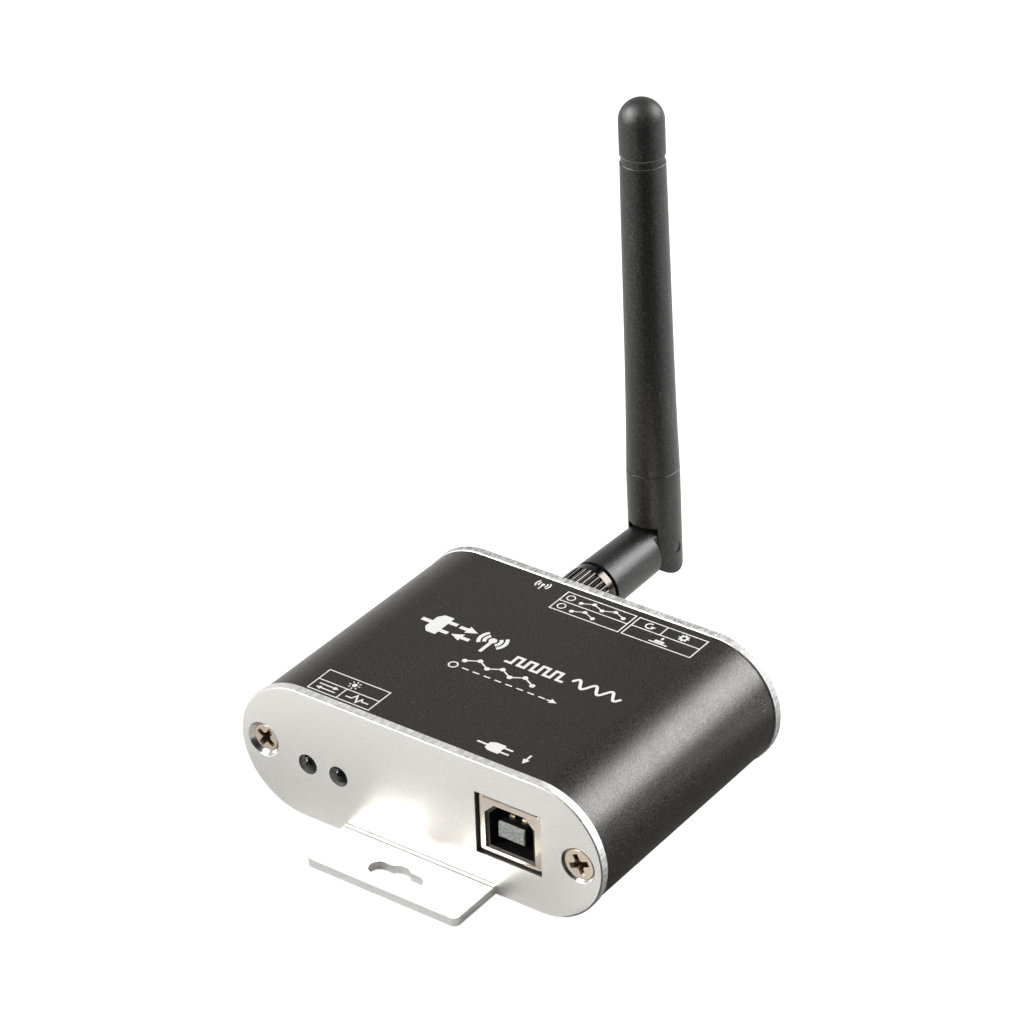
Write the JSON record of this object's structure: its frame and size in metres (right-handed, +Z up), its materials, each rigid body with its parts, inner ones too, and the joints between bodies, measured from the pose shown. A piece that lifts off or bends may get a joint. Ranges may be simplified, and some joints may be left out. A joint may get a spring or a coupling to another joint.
{
  "type": "wireless mesh to usb converter",
  "caption": "Black aluminium case with silver folded end plates, a square data socket, two lights, keyhole mounting tabs and a hinged whip antenna.",
  "frame": {"origin": "centre of the front keyhole, on the underside of the front mounting tab", "axes": "+Z up out of the surface that the tabs rest on; +Y from the socket end to the antenna end; +X to the right for someone who faces the socket"},
  "size_m": [0.0728, 0.1033, 0.0988],
  "materials": {
    "case_black": "black anodised over fine bead blasting",
    "plate_silver": "clear anodised, satin",
    "screw_nickel": "nickel plated",
    "board_green": "solder mask over glass laminate",
    "shell_nickel": "nickel plated, stamped",
    "insert_black": "moulded",
    "tongue_grey": "moulded",
    "contact_gold": "gold plated",
    "lens_clear": "clear cast resin",
    "lead_tin": "tinned",
    "key_black": "moulded",
    "switch_black": "moulded",
    "jack_brass": "gold plated",
    "lining_white": "turned fluoropolymer",
    "hardware_nickel": "nickel plated",
    "nut_black_nickel": "black nickel plated, knurled",
    "aerial_black": "finely textured moulding",
    "pin_black": "moulded",
    "cable_grey": "extruded jacket",
    "radiator_copper": "bare drawn tube and wire",
    "chip_black": "moulded package",
    "can_silver": "drawn can",
    "crystal_silver": "seam-welded cap",
    "ceramic_tan": "fired ceramic"
  },
  "bodies": {
    "root": {"case_tube": "case_black", "front_plate": "plate_silver", "rear_plate": "plate_silver", "front_screws": "screw_nickel", "rear_screws": "screw_nickel", "circuit_board": "board_green", "socket_shell": "shell_nickel", "socket_insert": "insert_black", "contact_tongue": "tongue_grey", "socket_contacts": "contact_gold", "left_light": "lens_clear", "right_light": "lens_clear", "light_leads": "lead_tin", "reset_switch": "switch_black", "reset_switch_cover": "hardware_nickel", "function_switch": "switch_black", "function_switch_cover": "hardware_nickel", "aerial_jack": "jack_brass", "jack_insulator": "lining_white", "jack_contact": "contact_gold", "lock_washer": "hardware_nickel", "hex_nut": "hardware_nickel", "module_board": "board_green", "module_headers": "switch_black", "header_pins": "contact_gold", "radio_chip": "chip_black", "amplifier_chip": "chip_black", "module_crystal": "crystal_silver", "bridge_chip": "chip_black", "bridge_chip_leads": "lead_tin", "voltage_regulator": "chip_black", "reservoir_capacitor": "can_silver", "clock_crystal": "crystal_silver", "chip_resistors": "chip_black", "ceramic_capacitors": "ceramic_tan"},
    "nut": {"coupling_nut": "nut_black_nickel", "retaining_ring": "hardware_nickel"},
    "aerial_base": {"aerial_base": "aerial_black", "plug_body": "jack_brass", "plug_insulator": "lining_white", "plug_pin": "contact_gold", "base_cable": "cable_grey"},
    "whip": {"aerial_fork": "aerial_black", "hinge_pins": "pin_black", "aerial_sheath": "aerial_black", "aerial_cap": "aerial_black", "whip_cable": "cable_grey", "radiator_sleeve": "radiator_copper", "radiator_wire": "radiator_copper"},
    "reset_key": {"reset_button": "key_black"},
    "function_key": {"function_button": "key_black"}
  },
  "joints": [
    {"name": "nut_turn", "type": "hinge", "parent": "root", "child": "nut", "pos_m": [-0.01242, 0.069, 0.01245], "axis": [0, 1, 0], "continuous": true},
    {"name": "antenna_swivel", "type": "hinge", "parent": "root", "child": "aerial_base", "pos_m": [-0.01242, 0.082, 0.01245], "axis": [0, 1, 0], "continuous": true},
    {"name": "antenna_tilt", "type": "hinge", "parent": "aerial_base", "child": "whip", "pos_m": [-0.01242, 0.0942, 0.01245], "axis": [-0.9997, 0, -0.0234], "range_deg": [0, 90]},
    {"name": "reset_press", "type": "slide", "parent": "root", "child": "reset_key", "axis": [0, -1, 0], "range_m": [0, 0.00025], "stiffness_N_per_m": 6400},
    {"name": "function_press", "type": "slide", "parent": "root", "child": "function_key", "axis": [0, -1, 0], "range_m": [0, 0.00025], "stiffness_N_per_m": 6400}
  ]
}
